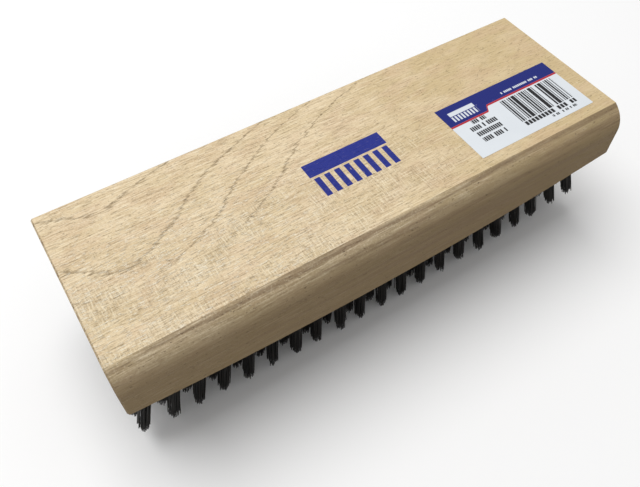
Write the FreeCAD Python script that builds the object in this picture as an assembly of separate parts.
import FreeCAD, Part
import math
import os

# Block wire brush: a hardwood block with a flat back and a curved (rocker) bristle face.
# Short steel wire tufts stand in drilled holes and fan out, both along the block and across it.
# Every tuft is folded over a flat wire anchor that bites into the wood beside the hole.
# A paper label is stuck on the flat back.
#
# Frame: +X along the block, +Y across it, +Z up through the flat back, millimetres.
# The origin is under the middle of the block, on the plane that the lowest wire tips touch.

os.makedirs("parts", exist_ok=True)

# Block
BLOCK_LENGTH = 184.15
BLOCK_WIDTH = 63.5
BLOCK_THICKNESS = 25.2
ROCKER_RADIUS = 757.0
NEAR_EDGE_RADIUS = 10.2
NEAR_ARRIS_ANGLE = 29.2
FAR_EDGE_RADIUS = 7.4
FAR_ARRIS_ANGLE = 40.8
CORNER_EASING = 0.5

# Tufts
RANKS = 21
TUFTS_PER_RANK = 8
RANK_END_MARGIN = 9.5
RANK_FAN_RADIUS = 303.0
ROW_PITCH = 5.98
ROW_FAN_RADIUS = 143.0
HOLE_DIAMETER = 4.4
HOLE_DEPTH = 12.0
TUFT_CLEARANCE = 0.05
TRIM_LENGTH = 28.6
TUFT_BELLY_RADIUS = 2.35
TUFT_TIP_RADIUS = 1.9
TUFT_BELLY_SHARE = 0.55
FOLD_ROUNDING = 0.9

# Anchors
ANCHOR_THICKNESS = 0.4
ANCHOR_WIDTH = 2.0
ANCHOR_BITE = 0.6
ANCHOR_CLEARANCE = 0.02
FOLD_THICKNESS = 1.2

# Label
LABEL_LENGTH = 49.0
LABEL_WIDTH = 24.6
LABEL_THICKNESS = 0.1
LABEL_END_GAP = 7.1
LABEL_EDGE_GAP = 4.1

# Sizes that follow from the ones above
BACK_HEIGHT = TRIM_LENGTH + BLOCK_THICKNESS
ROCKER_CENTRE_HEIGHT = TRIM_LENGTH + ROCKER_RADIUS
RANK_PITCH = (BLOCK_LENGTH - 2 * RANK_END_MARGIN) / (RANKS - 1)
ANCHOR_LENGTH = HOLE_DIAMETER + 2 * ANCHOR_BITE
SAME_PLACE = 1e-6
DRILL_START = 1.0


def vector(x, y, z):
    return FreeCAD.Vector(x, y, z)


def edge_drop(radius, arris_angle):
    """Height from the flat back down to where the rounded edge runs into the side."""
    return radius * math.cos(math.radians(arris_angle))


def arris_offset(radius, arris_angle):
    """Distance from the middle of the block to the line where the rounding starts."""
    return BLOCK_WIDTH / 2 - radius + radius * math.sin(math.radians(arris_angle))


def edge_arc(side, radius, arris_angle):
    """Rounded long edge: an arc from the side of the block up to its meeting with the back."""
    centre_y = side * (BLOCK_WIDTH / 2 - radius)
    centre_z = BACK_HEIGHT - edge_drop(radius, arris_angle)
    top_angle = math.radians(90 - arris_angle)
    points = []
    for angle in (0, top_angle / 2, top_angle):
        y = centre_y + side * radius * math.cos(angle)
        points.append(vector(0, y, centre_z + radius * math.sin(angle)))
    return Part.Arc(*points).toShape()


def cross_section():
    """Section of the block across its length, reaching below the bristle face."""
    near_foot = vector(0, -BLOCK_WIDTH / 2, 0)
    far_foot = vector(0, BLOCK_WIDTH / 2, 0)
    near_arc = edge_arc(-1, NEAR_EDGE_RADIUS, NEAR_ARRIS_ANGLE)
    far_arc = edge_arc(1, FAR_EDGE_RADIUS, FAR_ARRIS_ANGLE)
    edges = [
        Part.makeLine(near_foot, near_arc.firstVertex().Point),
        near_arc,
        Part.makeLine(near_arc.lastVertex().Point, far_arc.lastVertex().Point),
        far_arc,
        Part.makeLine(far_arc.firstVertex().Point, far_foot),
        Part.makeLine(far_foot, near_foot),
    ]
    return Part.Face(Part.Wire(Part.__sortEdges__(edges)))


def side_outline():
    """Side view of the block: flat back, square ends and the arc of the bristle face."""
    half = BLOCK_LENGTH / 2
    end_height = ROCKER_CENTRE_HEIGHT - math.sqrt(ROCKER_RADIUS**2 - half**2)
    left_end = vector(-half, 0, end_height)
    middle = vector(0, 0, TRIM_LENGTH)
    right_end = vector(half, 0, end_height)
    left_back = vector(-half, 0, BACK_HEIGHT)
    right_back = vector(half, 0, BACK_HEIGHT)
    edges = [
        Part.Arc(left_end, middle, right_end).toShape(),
        Part.makeLine(right_end, right_back),
        Part.makeLine(right_back, left_back),
        Part.makeLine(left_back, left_end),
    ]
    return Part.Face(Part.Wire(edges))


def at_end(edge):
    """True for an edge that lies in one of the two end faces."""
    box = edge.BoundBox
    flat = box.XLength < SAME_PLACE
    return flat and abs(abs(box.Center.x) - BLOCK_LENGTH / 2) < SAME_PLACE


def block_blank():
    """The block before it is drilled, with the sharp corners of its ends eased."""
    along = cross_section().extrude(vector(BLOCK_LENGTH, 0, 0))
    along.translate(vector(-BLOCK_LENGTH / 2, 0, 0))
    across = side_outline().extrude(vector(0, BLOCK_WIDTH, 0))
    across.translate(vector(0, -BLOCK_WIDTH / 2, 0))
    blank = along.common(across)
    end_edges = [edge for edge in blank.Edges if at_end(edge)]
    return blank.makeChamfer(CORNER_EASING, end_edges)


def rank_offset(rank):
    """Place of a rank's holes along the block."""
    return (rank - (RANKS - 1) / 2) * RANK_PITCH


def row_offset(row):
    """Place of a tuft's hole across the block."""
    return (row - (TUFTS_PER_RANK - 1) / 2) * ROW_PITCH


def hole_mouth(rank, row):
    """Middle of a hole's mouth on the curved bristle face."""
    x = rank_offset(rank)
    z = ROCKER_CENTRE_HEIGHT - math.sqrt(ROCKER_RADIUS**2 - x**2)
    return vector(x, row_offset(row), z)


def place(shape, rank, row):
    """Set a shape, made with its hole's mouth at the origin and its tips down, in the block.

    The axes of the holes meet high above the block, so the tips stand further apart than the holes.
    """
    origin = vector(0, 0, 0)
    lean = math.degrees(math.asin(row_offset(row) / ROW_FAN_RADIUS))
    tilt = math.degrees(math.asin(rank_offset(rank) / RANK_FAN_RADIUS))
    placed = shape.copy()
    placed.rotate(origin, vector(1, 0, 0), lean)
    placed.rotate(origin, vector(0, 1, 0), -tilt)
    placed.translate(hole_mouth(rank, row))
    return placed


def anchor_space(start, end, clearance):
    """Space that the flat wire anchor takes, or passes through, between two depths in the hole."""
    thickness = ANCHOR_THICKNESS + 2 * clearance
    length = ANCHOR_LENGTH + 2 * clearance
    corner = vector(-length / 2, -thickness / 2, start)
    return Part.makeBox(length, thickness, end - start, corner)


def anchor(clearance=0.0):
    """Flat wire anchor along the block, inside the fold of its tuft."""
    top = HOLE_DEPTH - FOLD_THICKNESS
    return anchor_space(top - ANCHOR_WIDTH - clearance, top + clearance, clearance)


def drilled_hole():
    """Hole for one tuft, with the two slits that the anchor cuts as it is driven in."""
    start = vector(0, 0, -DRILL_START)
    hole = Part.makeCylinder(HOLE_DIAMETER / 2, HOLE_DEPTH + DRILL_START, start)
    slit_end = HOLE_DEPTH - FOLD_THICKNESS + ANCHOR_CLEARANCE
    return hole.fuse(anchor_space(-DRILL_START, slit_end, ANCHOR_CLEARANCE))


def wood_block():
    """Block with every tuft hole drilled in it."""
    hole = drilled_hole()
    holes = []
    for rank in range(RANKS):
        for row in range(TUFTS_PER_RANK):
            holes.append(place(hole, rank, row))
    return block_blank().cut(holes)


def tuft():
    """Bundle of folded wires: the fold and the anchor in the hole, and the free legs outside."""
    root = HOLE_DIAMETER / 2 - TUFT_CLEARANCE
    fold_end = HOLE_DEPTH - TUFT_CLEARANCE
    belly = -TRIM_LENGTH * TUFT_BELLY_SHARE
    outline = [
        vector(0, 0, fold_end),
        vector(root - FOLD_ROUNDING, 0, fold_end),
        vector(root, 0, fold_end - FOLD_ROUNDING),
        vector(root, 0, 0),
        vector(TUFT_BELLY_RADIUS, 0, belly),
        vector(TUFT_TIP_RADIUS, 0, -TRIM_LENGTH),
        vector(0, 0, -TRIM_LENGTH),
        vector(0, 0, fold_end),
    ]
    face = Part.Face(Part.makePolygon(outline))
    bundle = face.revolve(vector(0, 0, 0), vector(0, 0, 1), 360)
    return bundle.cut(anchor(ANCHOR_CLEARANCE))


def rank_of(shape, rank):
    """One rank across the block: the same piece once in each of its holes."""
    pieces = [place(shape, rank, row) for row in range(TUFTS_PER_RANK)]
    return Part.makeCompound(pieces)


def paper_label():
    """Label on the flat back, near the right-hand end."""
    x = BLOCK_LENGTH / 2 - LABEL_END_GAP - LABEL_LENGTH
    y = LABEL_EDGE_GAP - arris_offset(NEAR_EDGE_RADIUS, NEAR_ARRIS_ANGLE)
    corner = vector(x, y, BACK_HEIGHT)
    return Part.makeBox(LABEL_LENGTH, LABEL_WIDTH, LABEL_THICKNESS, corner)


def save(shape, node):
    shape.exportStep("parts/" + node + ".step")


save(wood_block(), "wood_block")
save(paper_label(), "paper_label")
one_tuft = tuft()
one_anchor = anchor()
for rank in range(RANKS):
    number = f"{rank + 1:02d}"
    save(rank_of(one_tuft, rank), "tuft_rank_" + number)
    save(rank_of(one_anchor, rank), "anchor_rank_" + number)
